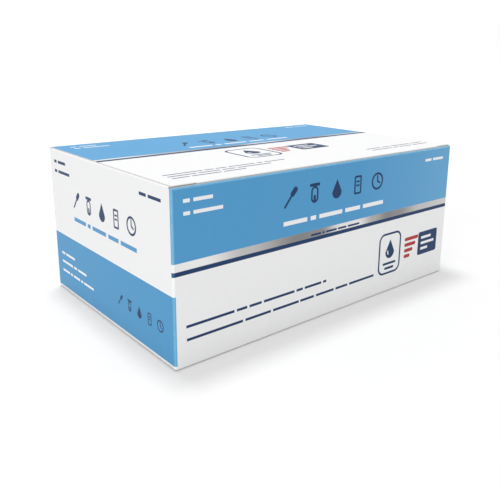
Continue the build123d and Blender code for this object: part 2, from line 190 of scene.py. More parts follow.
# Sums on the surface, written as plain arithmetic
class Number:
    """A number that changes over a surface. Arithmetic on it adds Math nodes to its tree."""

    def __init__(self, tree, socket):
        self.tree = tree
        self.socket = socket

    def math(self, operation, *others):
        step = self.tree.nodes.new("ShaderNodeMath")
        step.operation = operation
        for place, value in zip(step.inputs, (self, *others)):
            join(self.tree, value, place)
        return Number(self.tree, step.outputs[0])

    def __add__(self, other):
        return self.math("ADD", other)

    def __sub__(self, other):
        return self.math("SUBTRACT", other)

    def __mul__(self, other):
        return self.math("MULTIPLY", other)

    def __truediv__(self, other):
        return self.math("DIVIDE", other)

    def __neg__(self):
        return self * -1.0

    def __rsub__(self, other):
        return (self * -1.0) + other

    __radd__ = __add__
    __rmul__ = __mul__

    def abs(self):
        return self.math("ABSOLUTE")

    def larger(self, other):
        return self.math("MAXIMUM", other)

    def smaller(self, other):
        return self.math("MINIMUM", other)

    def over(self, limit, soft=INK_EDGE):
        """1 above the limit, 0 below it, with a soft step between."""
        return ((self - limit) / soft + 0.5).clamp()

    def under(self, limit, soft=INK_EDGE):
        return ((limit - self) / soft + 0.5).clamp()

    def clamp(self):
        step = self.tree.nodes.new("ShaderNodeClamp")
        join(self.tree, self, step.inputs[0])
        return Number(self.tree, step.outputs[0])


def join(tree, value, place):
    """Leads a number, a socket or a plain value into a socket."""
    if isinstance(value, Number):
        tree.links.new(value.socket, place)
    elif isinstance(value, bpy.types.NodeSocket):
        tree.links.new(value, place)
    elif isinstance(value, tuple) and len(value) == 3 and place.type == "RGBA":
        place.default_value = (*value, 1.0)
    else:
        place.default_value = value


def new_group(name, inputs, outputs):
    """An empty shader node group. Gives the group, its input numbers and its output sockets."""
    group = bpy.data.node_groups.new(name, "ShaderNodeTree")
    for label in inputs:
        group.interface.new_socket(label, in_out="INPUT", socket_type="NodeSocketFloat")
    for label in outputs:
        group.interface.new_socket(label, in_out="OUTPUT", socket_type="NodeSocketFloat")
    entry = group.nodes.new("NodeGroupInput")
    leave = group.nodes.new("NodeGroupOutput")
    given = [Number(group, entry.outputs[label]) for label in inputs]
    return group, given, leave.inputs


def use_group(tree, group, *values):
    """Places a group in a tree and gives its outputs as numbers."""
    placed = tree.nodes.new("ShaderNodeGroup")
    placed.node_tree = group
    for place, value in zip(placed.inputs, values):
        join(tree, value, place)
    found = [Number(tree, s) for s in placed.outputs]
    return found[0] if len(found) == 1 else found


def place_mm(tree):
    """The point on the surface in the carton's frame, in millimetres."""
    where = tree.nodes.new("ShaderNodeTexCoord")
    scaled = tree.nodes.new("ShaderNodeVectorMath")
    scaled.operation = "SCALE"
    scaled.inputs["Scale"].default_value = 1 / MM
    tree.links.new(where.outputs["Object"], scaled.inputs[0])
    split = tree.nodes.new("ShaderNodeSeparateXYZ")
    tree.links.new(scaled.outputs[0], split.inputs[0])
    return [Number(tree, s) for s in split.outputs], scaled.outputs[0]


def noise(tree, where, per_mm, detail=2.0, stretch=None):
    """Soft noise about 0.5, so many patches to a millimetre."""
    if stretch:
        wide = tree.nodes.new("ShaderNodeVectorMath")
        wide.operation = "MULTIPLY"
        join(tree, where, wide.inputs[0])
        wide.inputs[1].default_value = stretch
        where = wide.outputs[0]
    cloud = tree.nodes.new("ShaderNodeTexNoise")
    cloud.inputs["Scale"].default_value = per_mm
    cloud.inputs["Detail"].default_value = detail
    join(tree, where, cloud.inputs["Vector"])
    return Number(tree, cloud.outputs["Fac"])


def blend_colour(tree, share, under, over):
    """One colour laid over another by a mask."""
    mix = tree.nodes.new("ShaderNodeMix")
    mix.data_type = "RGBA"
    join(tree, share, mix.inputs[0])
    join(tree, under, mix.inputs[6])
    join(tree, over, mix.inputs[7])
    return mix.outputs[2]


def choose(tree, share, first, second):
    """The first number where share is 0, the second where it is 1."""
    mix = tree.nodes.new("ShaderNodeMix")
    join(tree, share, mix.inputs[0])
    join(tree, first, mix.inputs[2])
    join(tree, second, mix.inputs[3])
    return Number(tree, mix.outputs[0])


def root_of_squares(a, b):
    return (a * a + b * b).math("SQRT")


# Shapes of the print, each a mask with a soft ink edge
def build_bar():
    names = ("U", "V", "Middle U", "Middle V", "Half U", "Half V", "Radius", "Line")
    group, given, out = new_group("printed bar", names, ("Mask",))
    u, v, middle_u, middle_v, half_u, half_v, radius, line = given
    across = (u - middle_u).abs() - half_u + radius
    along = (v - middle_v).abs() - half_v + radius
    outside = root_of_squares(across.larger(0.0), along.larger(0.0))
    edge = outside + across.larger(along).smaller(0.0) - radius
    ring = edge.larger((edge + line) * -1.0)
    join(group, ring.under(0.0), out["Mask"])
    return group


def build_stroke():
    names = ("U", "V", "From U", "From V", "To U", "To V", "From Half", "To Half")
    group, given, out = new_group("printed stroke", names, ("Mask",))
    u, v, from_u, from_v, to_u, to_v, from_half, to_half = given
    run_u, run_v = to_u - from_u, to_v - from_v
    du, dv = u - from_u, v - from_v
    share = ((du * run_u + dv * run_v) / (run_u * run_u + run_v * run_v)).clamp()
    gap = root_of_squares(du - run_u * share, dv - run_v * share)
    half = from_half + (to_half - from_half) * share
    join(group, (gap - half).under(0.0), out["Mask"])
    return group


bar = build_bar()
stroke = build_stroke()


def build_signs():
    """Five plain signs in a row, 78 by 10 mm: swab, tube, drop, strip and clock."""
    group, (u, v), out = new_group("row of signs", ("U", "V"), ("Mask",))
    bars = (
        (-17.0, -0.7, 2.7, 4.5, 2.6, 1.15),
        (-17.0, 4.5, 3.7, 0.85, 0.6, SOLID),
        (-17.0, -2.6, 0.9, 1.7, 0.9, SOLID),
        (17.0, 0.0, 3.0, 5.3, 1.0, 1.15),
        (17.0, 1.9, 1.4, 0.5, 0.1, SOLID),
        (17.0, -0.3, 1.4, 0.5, 0.1, SOLID),
        (34.0, 0.0, 5.1, 5.1, 5.1, 1.25),
    )
    strokes = (
        (-38.0, -4.5, -32.6, 2.0, 0.62, 0.62),
        (-32.8, 1.8, -30.9, 3.9, 1.5, 1.5),
        (0.0, -1.6, 0.0, 5.1, 3.7, 0.15),
        (34.0, 0.0, 34.0, 3.1, 0.55, 0.55),
        (34.0, 0.0, 36.1, -1.1, 0.55, 0.55),
    )
    whole = None
    for group_kind, shapes in ((bar, bars), (stroke, strokes)):
        for shape in shapes:
            mask = use_group(group, group_kind, u, v, *shape)
            whole = mask if whole is None else whole.larger(mask)
    join(group, whole, out["Mask"])
    return group


signs = build_signs()


def build_badge():
    """An upright badge with a drop over two short bars, 21 by 26 mm."""
    group, (u, v), out = new_group("drop badge", ("U", "V"), ("Mask",))
    frame_line = use_group(group, bar, u, v, 0.0, 0.0, 10.6, 13.2, 5.0, 1.3)
    drop = use_group(group, stroke, u, v, 0.0, 1.0, 0.0, 8.4, 4.2, 0.2)
    shine = use_group(group, stroke, u, v, -1.6, -0.4, -2.1, 1.6, 0.45, 0.45)
    upper = use_group(group, bar, u, v, 0.0, -6.4, 6.2, 0.75, 0.7, SOLID)
    lower = use_group(group, bar, u, v, 0.0, -9.4, 4.4, 0.75, 0.7, SOLID)
    inner = (drop - shine).larger(upper).larger(lower)
    join(group, frame_line.larger(inner), out["Mask"])
    return group


badge = build_badge()


# Effects that several papers and boards share
def build_fibre():
    """Paper fibres: fine height for the bump, and slow and fine mottling."""
    group, (fine, coarse), out = new_group(
        "paper fibre", ("Fine", "Coarse"), ("Height", "Mottle"))
    _, where = place_mm(group)
    grain = noise(group, where, 3.4, 3.0)
    threads = noise(group, where, 1.1, 2.0, (1.0, 1.0, 3.0))
    waves = noise(group, where, 0.028, 1.0)
    clouds = noise(group, where, 0.35, 3.0)
    join(group, grain * fine + threads * fine + waves * coarse, out["Height"])
    join(group, clouds * 0.6 + grain * 0.4 - 0.5, out["Mottle"])
    return group


fibre = build_fibre()


def new_material(name, **settings):
    """A material with plain values set on the shader's own sockets."""
    material = bpy.data.materials.new(name)
    material.use_nodes = True
    tree = material.node_tree
    shader = tree.nodes["Principled BSDF"]
    for label, value in settings.items():
        shader.inputs[label.replace("_", " ")].default_value = value
    return material, tree, shader


def add_bump(tree, shader, height, depth_mm, strength=1.0):
    bump = tree.nodes.new("ShaderNodeBump")
    bump.inputs["Distance"].default_value = depth_mm * MM
    bump.inputs["Strength"].default_value = strength
    join(tree, height, bump.inputs["Height"])
    tree.links.new(bump.outputs[0], shader.inputs["Normal"])


def tinted(tree, colour, mottle, amount):
    """A colour a little lighter and darker by the mottling."""
    shade = tree.nodes.new("ShaderNodeHueSaturation")
    join(tree, mottle * amount + 1.0, shade.inputs["Value"])
    join(tree, colour, shade.inputs["Color"])
    return shade.outputs[0]


def colour_ramp(tree, along, kind, stops):
    """Colours along a number from 0 to 1, given as (place, colour)."""
    ramp = tree.nodes.new("ShaderNodeValToRGB")
    ramp.color_ramp.interpolation = kind
    points = ramp.color_ramp.elements
    while len(points) < len(stops):
        points.new(1.0)
    for point, (place, colour) in zip(points, stops):
        point.position = place
        point.color = (*colour, 1.0)
    join(tree, along, ramp.inputs[0])
    return ramp.outputs[0]


def bar_row(tree, u, v, start, middle, height, lengths):
    """Plain bars in a row, in the place of a line of print, with gaps as wide as a bar is high."""
    gap = height * 1.05
    whole = sum(lengths) + gap * (len(lengths) - 1)
    ink, bare, inset = (1.0, 1.0, 1.0), (0.0, 0.0, 0.0), 0.0005
    stops = [(0.0, bare)]
    at = 0.0
    for length in lengths:
        stops.append((max(at / whole, inset), ink))
        at += length
        stops.append((min(at / whole, 1.0 - inset), bare))
        at += gap
    bars = colour_ramp(tree, (u - start) / whole, "CONSTANT", stops)
    return Number(tree, bars) * (v - middle).abs().under(height / 2)


def rows_mask(tree, u, v, rows):
    """All rows of bars in a list of (start, middle line, height, lengths)."""
    whole = None
    for one in rows:
        mask = bar_row(tree, u, v, *one)
        whole = mask if whole is None else whole.larger(mask)
    return whole


# Rows of bars on each panel: start, middle line, height, lengths of the bars
LONG_WHITE_ROWS = (
    (6.0, 7.4, 1.7, (3.6, 10.6)),
    (6.0, 13.1, 1.7, (3.6, 16.2)),
    (184.0, 8.0, 1.6, (6.4, 11.0)),
    (65.0, 28.4, 2.3, (17.0, 4.0, 18.0, 12.5, 18.0)),
)
LONG_NAVY_ROWS = (
    (85.0, 37.9, 1.1, (7.6, 1.6, 8.4, 6.8, 9.8)),
    (6.0, 66.6, 1.4, (28.0, 6.4, 8.0, 21.0, 4.6, 12.6, 2.8)),
    (6.0, 73.2, 1.4, (33.0, 17.0, 18.0, 10.4, 14.0, 10.2, 22.0)),
)
SHORT_NAVY_ROWS = (
    (5.0, 7.3, 1.7, (3.6, 10.6)),
    (5.0, 12.9, 1.7, (3.6, 15.6)),
    (106.0, 8.0, 1.6, (6.6, 11.4)),
)
SHORT_BLUE_ROWS = ((29.0, 37.3, 2.3, (15.4, 3.6, 16.2, 11.4, 16.6)),)
SHORT_WHITE_ROWS = (
    (7.0, 62.8, 1.4, (4.6, 12.6)),
    (7.0, 68.2, 1.4, (15.0, 4.4, 11.4)),
    (7.0, 73.9, 1.4, (9.6, 3.0, 8.8, 2.6, 12.6)),
)
LID_WHITE_ROWS = (
    (9.0, 8.6, 1.8, (3.6, 10.6)),
    (9.0, 14.6, 1.8, (3.6, 16.2)),
    (180.0, 8.0, 1.7, (8.4, 12.8)),
    (65.0, 49.8, 2.6, (16.6, 4.0, 17.4, 12.0, 17.6)),
)
LID_NAVY_ROWS = (
    (8.6, 113.6, 1.2, (22.0, 5.4, 6.6, 17.0, 3.8, 14.4)),
    (8.6, 117.8, 1.2, (16.0, 12.6, 8.0, 22.0)),
    (8.6, 122.0, 1.2, (9.4, 17.0, 13.6)),
    (147.0, 117.4, 1.2, (13.0, 7.6, 18.4, 11.8)),
    (147.0, 122.0, 1.2, (18.6, 4.8, 12.2, 15.4)),
)


def from_place(place, u, v):
    """Distances right of a place on a panel and above it."""
    return u - place[0], place[1] - v


def red_bars(tree, u, v):
    """Four red bars, each shorter than the one above it, about the middle of their place."""
    longest, shorter, top, pitch = 7.0, 1.3, 5.6, 3.7
    whole = None
    for step in range(4):
        length = longest - shorter * step
        level = top - pitch * step
        mask = use_group(tree, bar, u, v, length - longest, level, length, 1.15, 1.1, SOLID)
        whole = mask if whole is None else whole.larger(mask)
    return whole


def side_badge(tree, u, v, colour):
    """The badge at the right: red bars, and a navy block with white bars."""
    reds = red_bars(tree, u + 10.2, v)
    block = use_group(tree, bar, u, v, 7.3, 0.0, 10.2, 7.7, 1.4, SOLID)
    marks = rows_mask(tree, u, v, ((0.2, 3.7, 1.7, (10.6,)), (0.2, 0.0, 1.7, (14.2,)),
                                   (0.2, -3.7, 1.7, (7.6,))))
    colour = blend_colour(tree, reds, colour, PRINT_RED)
    colour = blend_colour(tree, block, colour, PRINT_NAVY)
    return blend_colour(tree, marks * block, colour, COATED_WHITE)


def silver(tree, along):
    """The silver band: grey that runs light, dark, light along the panel."""
    stops = [(place, (grey, grey * 0.995, grey * 0.985)) for place, grey in SILVER_GREYS]
    return colour_ramp(tree, along, "EASE", stops)


def board_sides(tree, shader, printed, depth, fold_highlight, rub_and_shade, gloss):
    """Lays the print on the outer side, bare board on the inner side and the cut edges.
    The folds are lightened as a painted highlight that also stands for ink worn thin there, and
    grey board is laid as painted shade where edges sit in a gap or meet the floor, standing also
    for rubbing at the carton's foot."""
    height, mottle = use_group(tree, fibre, 0.5, 1.0)
    outer = depth.over(0.0, 0.06)
    edge = depth.abs().under(BOARD / 2 - 0.06, 0.05)
    # Painted highlight: a lower gamma lightens the print on the folds and along the long panels'
    # top edge
    light = tree.nodes.new("ShaderNodeGamma")
    join(tree, printed, light.inputs["Color"])
    join(tree, 1.0 - fold_highlight * (mottle + 0.9), light.inputs["Gamma"])
    fold_tone = light.outputs[0]
    # Painted shade: grey board laid in the lid fold's gap and along the carton's foot, where it
    # also stands for rubbing
    fold_tone = blend_colour(tree, rub_and_shade * (mottle * 0.5 + 0.9), fold_tone, RUBBED_AND_SHADED_BOARD)
    colour = blend_colour(tree, outer, tinted(tree, BARE_BOARD, mottle, 0.22), fold_tone)
    colour = blend_colour(tree, edge, tinted(tree, colour, mottle, 0.05), CUT_EDGE)
    path = tree.nodes.new("ShaderNodeLightPath")
    calm = tree.nodes.new("ShaderNodeHueSaturation")
    join(tree, 1.0 - Number(tree, path.outputs["Is Diffuse Ray"]) * 0.85, calm.inputs["Saturation"])
    join(tree, colour, calm.inputs["Color"])
    join(tree, calm.outputs[0], shader.inputs["Base Color"])
    coated = outer * (1.0 - edge)
    join(tree, 0.78 - coated * 0.36 + mottle * 0.12, shader.inputs["Roughness"])
    shader.inputs["Specular IOR Level"].default_value = gloss
    add_bump(tree, shader, height * (1.6 - outer), 0.03)


def print_carton():
    """The print of the four panels: the long ones alike, and the short ones alike."""
    material, tree, shader = new_material("printed_board_panels")
    (x, y, z), _ = place_mm(tree)
    down = HEIGHT - z
    long_u = (HALF_LENGTH - x * y.math("SIGN")) * PRINT_STRETCH
    short_u = HALF_WIDTH - SHORT_PRINT_SHIFT + y * x.math("SIGN")
    on_long = (y.abs() - x.abs()).over(HALF_WIDTH - HALF_LENGTH, 0.02)
    long_print = y.abs().over(HALF_WIDTH - CORNER_RADIUS)
    short_print = x.abs().over(HALF_LENGTH - CORNER_RADIUS)

    # Fields of colour: blue, silver and navy on the long panels, blue low on the short ones
    long_blue = down.under(LONG_BLUE_END) * long_print
    # Painted sheen: the blue lightens toward the far end of each long panel
    far_end_sheen = long_u.over(165.0, 90.0) * on_long
    blue_with_sheen = blend_colour(tree, far_end_sheen, PRINT_BLUE, PRINT_BLUE_SHEEN)
    low_place = down.over(SHORT_BLUE_START)
    short_blue = low_place * z.over(SHORT_BLUE_FOOT) * short_print
    short_blue = short_blue * (1.0 - on_long).larger(x.under(0.0))
    blue_with_sheen = blend_colour(tree, short_blue, blue_with_sheen, PRINT_BLUE_DEEP)
    colour = blend_colour(tree, long_blue.larger(short_blue), COATED_WHITE, blue_with_sheen)
    band = down.over(LONG_BLUE_END) * down.under(LONG_SILVER_END) * long_print
    colour = blend_colour(tree, band, colour, silver(tree, long_u / (2 * HALF_LENGTH)))
    line = down.over(LONG_SILVER_END) * down.under(LONG_NAVY_END) * long_print
    colour = blend_colour(tree, line, colour, PRINT_NAVY)

    # Signs: in the middle of the long panels, and twice on the short ones
    high_u, high_v = from_place(SHORT_HIGH_SIGNS, short_u, down)
    low_u, low_v = from_place(SHORT_LOW_SIGNS, short_u, down)
    short_signs_u = choose(tree, low_place, high_u, low_u * SHORT_LOW_SIGNS_SHRINK)
    short_signs_v = choose(tree, low_place, high_v, low_v * SHORT_LOW_SIGNS_SHRINK)
    long_signs_u, long_signs_v = from_place(LONG_SIGNS, long_u, down)
    signs_u = choose(tree, on_long, short_signs_u * 1.07, long_signs_u)
    signs_v = choose(tree, on_long, short_signs_v * 1.04, long_signs_v)
    navy = use_group(tree, signs, signs_u, signs_v)
    navy = navy.larger(rows_mask(tree, long_u, down, LONG_NAVY_ROWS) * on_long)
    navy = navy.larger(use_group(tree, badge, *from_place(LONG_BADGE, long_u, down)) * on_long)
    off_long = 1.0 - on_long
    navy = navy.larger(rows_mask(tree, short_u, down, SHORT_NAVY_ROWS) * off_long)
    colour = blend_colour(tree, navy, colour, PRINT_NAVY)
    white = rows_mask(tree, long_u, down, LONG_WHITE_ROWS) * on_long
    white = white.larger(rows_mask(tree, short_u, down, SHORT_WHITE_ROWS) * off_long)
    colour = blend_colour(tree, white, colour, COATED_WHITE)
    blue = rows_mask(tree, short_u, down, SHORT_BLUE_ROWS) * off_long
    colour = blend_colour(tree, blue, colour, PRINT_BLUE)
    with_badge = side_badge(tree, *from_place(LONG_SIDE_BADGE, long_u, down), colour)
    colour = blend_colour(tree, on_long, colour, with_badge)

    # The dust flaps are left unprinted and without varnish; here only their colour changes
    flap = z.over(DUST_TOP - 0.8, 0.5) * x.abs().under(HALF_LENGTH - 0.6, 0.5)
    flap = flap * y.abs().under(HALF_WIDTH - 1.3, 0.3)
    colour = blend_colour(tree, flap, colour, FLAP_WHITE)

    # How far a point is out of the board's middle, round the folds too
    round_x = x.abs() - (HALF_LENGTH - CORNER_RADIUS)
    round_y = y.abs() - (HALF_WIDTH - CORNER_RADIUS)
    wall = root_of_squares(round_x.larger(0.0), round_y.larger(0.0))
    wall = wall + round_x.larger(round_y).smaller(0.0) - (CORNER_RADIUS - BOARD / 2)
    fold_middle = FOLD_RADIUS - BOARD / 2
    middle_z = DUST_TOP / 2
    out = wall + fold_middle
    up = (z - middle_z).abs() - (middle_z - FOLD_RADIUS)
    depth = root_of_squares(out.larger(0.0), up.larger(0.0))
    depth = depth + out.larger(up).smaller(0.0) - fold_middle
    # Painted highlight on the upright corner folds, which also stands for ink worn thin there
    fold_highlight = (round_x.smaller(round_y)).over(0.25, 0.7) * 0.38
    # Painted highlight along the long panels' top edge
    top_edge_highlight = down.under(HEIGHT - FRONT_TOP + 0.9, 0.6) * long_print * 0.4
    # Painted shade along the foot, where the carton meets the floor, also standing for rubbed board
    rub_and_shade = z.under(0.65, 0.5)
    board_sides(tree, shader, colour, depth, fold_highlight.larger(top_edge_highlight), rub_and_shade, 0.2)
    return material


def print_lid():
    """The print of the lid: blue at the back, a silver band, a navy line, white in front."""
    material, tree, shader = new_material("printed_board_lid")
    (x, y, z), _ = place_mm(tree)
    u = x + HALF_LENGTH
    back = HALF_WIDTH - y
    colour = blend_colour(tree, back.under(LID_BLUE_END), COATED_WHITE, PRINT_BLUE_LID)
    band = back.over(LID_BLUE_END) * back.under(LID_SILVER_END)
    colour = blend_colour(tree, band, colour, silver(tree, u / (2 * HALF_LENGTH)))
    line = back.over(LID_SILVER_END) * back.under(LID_NAVY_END)
    colour = blend_colour(tree, line, colour, PRINT_NAVY)
    signs_u, signs_v = from_place(LID_SIGNS, u, back)
    navy = use_group(tree, signs, signs_u, signs_v * 0.8)
    navy = navy.larger(rows_mask(tree, u, back, LID_NAVY_ROWS))
    badge_u, badge_v = from_place(LID_BADGE, u, back)
    navy = navy.larger(use_group(tree, badge, badge_u * 0.85, badge_v * 0.91))
    colour = blend_colour(tree, navy, colour, PRINT_NAVY)
    white = rows_mask(tree, u, back, LID_WHITE_ROWS)
    colour = blend_colour(tree, white, colour, COATED_WHITE)
    side_u, side_v = from_place(LID_SIDE_BADGE, u, back)
    colour = side_badge(tree, side_u * 0.9, side_v * 0.9, colour)

    fold_middle = FOLD_RADIUS - BOARD / 2
    up = z - (LID_BASE + BOARD / 2) + fold_middle
    front = (TUCK_FRONT + (HEIGHT - z) * TUCK_LEAN) - y + fold_middle
    depth = root_of_squares(up.larger(0.0), front.larger(0.0))
    depth = depth + up.larger(front).smaller(0.0) - fold_middle
    # Painted shade on the front of the lid's fold, in the gap above the front panel
    rub_and_shade = front.over(fold_middle, 0.2) * up.under(0.32, 0.25) * (-up).under(3.0)
    # Painted highlight on the lid's front fold
    fold_highlight = up.smaller(front).over(0.4, 0.7) * 0.16
    board_sides(tree, shader, colour, depth, fold_highlight, rub_and_shade, 0.06)
    return material


# Goods in the carton
def print_sheet(name, colour, roughness, depth_mm, draw, **settings):
    """Paper, card or board: fibres and mottling, with the sheet's own print over them."""
    material, tree, shader = new_material(name, **settings)
    (x, y, z), _ = place_mm(tree)
    height, mottle = use_group(tree, fibre, 0.7, 0.6)
    printed = draw(tree, colour, x, y, z)
    join(tree, tinted(tree, printed, mottle, 0.1), shader.inputs["Base Color"])
    join(tree, mottle * 0.14 + roughness, shader.inputs["Roughness"])
    add_bump(tree, shader, height, depth_mm)
    return material


def corner_mm(node):
    low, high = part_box(node)
    return low / MM, high / MM


def wrap_of(number, pitch):
    """Where a point is within its own row, from minus half a pitch to half a pitch."""
    return (number / pitch).math("FRACT") * pitch - pitch / 2


def text_block(tree, u, v, low_v, high_v, pitch, rows):
    """Rows of plain bars that fill a block, the same few rows over and over."""
    height = pitch * len(rows)
    turn = wrap_of(v - low_v, height) + height / 2
    lines = [(start, pitch * (number + 0.5), high, lengths)
             for number, (start, high, lengths) in enumerate(rows)]
    return rows_mask(tree, u, turn, lines) * v.over(low_v) * v.under(high_v)


# Rows of small bars on the leaflet and the card: start, height, lengths of the bars
COLUMN_ROWS = (
    (0.0, 1.0, (9.0, 4.2, 12.6, 7.0, 6.6)),
    (0.0, 1.0, (13.0, 8.4, 3.2, 14.2)),
    (0.0, 1.0, (5.4, 10.8, 6.8, 11.6, 3.0)),
    (0.0, 1.0, (15.2, 3.4, 9.6)),
)
CARD_ROWS = (
    (0.0, 1.7, (22.0, 9.0, 30.0, 14.0, 41.0, 17.0, 26.0)),
    (0.0, 1.7, (31.0, 16.0, 12.0, 37.0, 24.0, 8.0)),
    (0.0, 1.7, (14.0, 44.0, 19.0, 27.0)),
)


def draw_leaflet(tree, colour, x, y, z):
    low, high = corner_mm("instruction_leaflet")
    u, v = x - low.x, high.y - y
    top = z.over(high.z - 0.15, 0.1)
    wide, deep = high.x - low.x, high.y - low.y
    header = use_group(tree, bar, u, v, wide / 2, 8.0, wide / 2 - 5.0, 4.6, 1.0, SOLID)
    title = rows_mask(tree, u, v, ((9.0, 8.0, 2.6, (19.0, 12.0, 24.0)),))
    icons = use_group(tree, signs, u - wide / 2, 20.5 - v)
    left = text_block(tree, u - 6.0, v, 29.0, deep - 5.0, 2.6, COLUMN_ROWS)
    right = text_block(tree, u - 56.0, v, 29.0, deep - 5.0, 2.6, COLUMN_ROWS[::-1])
    colour = blend_colour(tree, left.larger(right) * top, colour, GREY_INK)
    colour = blend_colour(tree, icons * top, colour, GREY_INK)
    colour = blend_colour(tree, header * top, colour, PRINT_BLUE)
    return blend_colour(tree, title * top, colour, COATED_WHITE)


def draw_card(tree, colour, x, y, z):
    low, high = corner_mm("procedure_card")
    u, v = x - low.x, high.y - y
    wide = high.x - low.x
    header = v.under(16.0)
    title = rows_mask(tree, u, v, ((10.0, 8.0, 4.0, (34.0, 16.0, 38.0)),))
    icons = use_group(tree, signs, (u - wide / 2) * 0.45, (44.0 - v) * 0.45)
    body = text_block(tree, u - 10.0, v, 70.0, 112.0, 4.2, CARD_ROWS)
    colour = blend_colour(tree, icons.larger(body), colour, PRINT_NAVY)
    colour = blend_colour(tree, header, colour, PRINT_BLUE)
    return blend_colour(tree, title, colour, COATED_WHITE)


def draw_tube_box(tree, colour, x, y, z):
    low, high = corner_mm("tube_box")
    u, v, down = x - low.x, high.y - y, high.z - z
    front = down.over(0.6)
    band = v.under(9.0) * down.under(0.3)
    side_band = down.over(24.0) * down.under(30.0)
    mark = rows_mask(tree, u, down, ((12.0, 11.0, 2.8, (24.0, 9.0, 22.0)),
                                     (12.0, 17.0, 1.8, (13.0, 18.0, 8.0))))
    colour = blend_colour(tree, band.larger(side_band), colour, PRINT_BLUE)
    return blend_colour(tree, mark * front, colour, PRINT_NAVY)


def draw_peel_pack(tree, colour, x, y, z):
    low, high = corner_mm("swab_strip_1")
    u = x - low.x
    v = wrap_of(high.y - y, (high.y - low.y) / PACKS_IN_STRIP)
    stripe = u.over(150.0) * u.under(156.0)
    arrow = use_group(tree, stroke, u, v, 186.0, 0.0, 194.0, 0.0, 2.6, 0.2)
    words = rows_mask(tree, u, v, ((24.0, -7.2, 1.4, (18.0, 7.0, 22.0, 9.0)),
                                   (24.0, 7.2, 1.4, (11.0, 16.0, 14.0))))
    colour = blend_colour(tree, stripe.larger(arrow), colour, PRINT_BLUE)
    return blend_colour(tree, words, colour, GREY_INK)


def foil_pouches():
    """Crinkled foil with a ribbed heat seal all round and a plain printed label."""
    low, high = corner_mm("test_pouch_01")
    material, tree, shader = new_material("pouch_foil")
    (_, y, z), where = place_mm(tree)
    v, w = y - low.y, z - low.z
    long, tall = high.y - low.y, high.z - low.z
    side = v.smaller(long - v)
    rim = side.smaller(w).smaller(tall - w)
    seal = rim.under(SEAL_WIDTH, 0.4)
    across = side.under(SEAL_WIDTH)
    ribs = (choose(tree, across, w, v) * SEAL_RIBS_TURN).math("SINE")
    creases = noise(tree, where, 0.16, 5.0, (3.0, 1.0, 1.0))
    label = use_group(tree, bar, v, w, long / 2, tall / 2, long / 2 - 14.0, tall / 2 - 8.0,
                      1.0, SOLID)
    words = rows_mask(tree, v, w, ((22.0, 20.6, 2.0, (18.0, 8.0, 20.0)),
                                   (22.0, 16.0, 1.3, (14.0, 22.0, 9.0, 17.0)),
                                   (22.0, 12.6, 1.3, (19.0, 11.0, 24.0))))
    stripe = use_group(tree, bar, v, w, long - 20.0, tall / 2, 4.0, tall / 2 - 8.0, 0.6, SOLID)
    colour = blend_colour(tree, label, tinted(tree, FOIL, creases - 0.5, 0.25), LABEL_WHITE)
    colour = blend_colour(tree, words * label, colour, PRINT_NAVY)
    colour = blend_colour(tree, stripe, colour, PRINT_BLUE)
    join(tree, colour, shader.inputs["Base Color"])
    join(tree, 0.95 - label * 0.9, shader.inputs["Metallic"])
    join(tree, 0.26 + creases * 0.2 + label * 0.15, shader.inputs["Roughness"])
    add_bump(tree, shader, creases * (2.2 - seal * 1.8) + ribs * seal * 0.22, 0.5)
    return material


def foam_block():
    """White foam: closed cells of two sizes, matt."""
    material, tree, shader = new_material("white_foam", Specular_IOR_Level=0.2)
    _, where = place_mm(tree)
    cells = tree.nodes.new("ShaderNodeTexVoronoi")
    cells.inputs["Scale"].default_value = 1.3
    tree.links.new(where, cells.inputs["Vector"])
    cell = Number(tree, cells.outputs["Distance"])
    patches = noise(tree, where, 0.5, 3.0)
    join(tree, tinted(tree, FOAM_WHITE, cell * 0.4 + patches - 0.75, 0.12),
         shader.inputs["Base Color"])
    join(tree, patches * 0.2 + 0.75, shader.inputs["Roughness"])
    add_bump(tree, shader, patches * 0.5 - cell, 0.25)
    return material


def build_moulded():
    """Moulded plastic: fine sparkle of the mould's surface and slow waves."""
    group, _, out = new_group("moulded plastic", (), ("Height", "Mottle"))
    _, where = place_mm(group)
    grain = noise(group, where, 6.0, 2.0)
    waves = noise(group, where, 0.25, 1.0)
    join(group, grain * 0.35 + waves, out["Height"])
    join(group, waves * 0.6 + grain * 0.4 - 0.5, out["Mottle"])
    return group


moulded = build_moulded()


def bottle_material(name, node, colour):
    """A white bottle with a paper label and the label's stripe in the cap's colour."""
    low, high = corner_mm(node)
    material, tree, shader = new_material(name, Subsurface_Weight=0.15, Subsurface_Scale=0.002)
    (x, y, z), _ = place_mm(tree)
    height, mottle = use_group(tree, moulded)
    up = z - low.z
    top = (high.z - low.z) * 0.76
    across, along = x - (low.x + high.x) / 2, y - (low.y + high.y) / 2
    girth = root_of_squares(across, along)
    label = up.over(4.0) * up.under(top - 2.5) * girth.over((high.x - low.x) / 2 - 0.5)
    stripe = up.over(top - 8.0) * up.under(top - 4.6) * label
    turn = across.math("ARCTAN2", along) * ((high.x - low.x) / 2)
    words = rows_mask(tree, turn, up, ((-12.0, 9.0, 1.2, (7.0, 9.0, 4.0)),
                                       (-12.0, 12.2, 0.9, (10.0, 6.0))))
    surface = blend_colour(tree, label, BOTTLE_WHITE, LABEL_WHITE)
    surface = blend_colour(tree, words * label, surface, GREY_INK)
    surface = blend_colour(tree, stripe, surface, colour)
    join(tree, tinted(tree, surface, mottle, 0.06), shader.inputs["Base Color"])
    join(tree, 0.32 + label * 0.2 + mottle * 0.08, shader.inputs["Roughness"])
    add_bump(tree, shader, height + label * 1.2, 0.08)
    return material


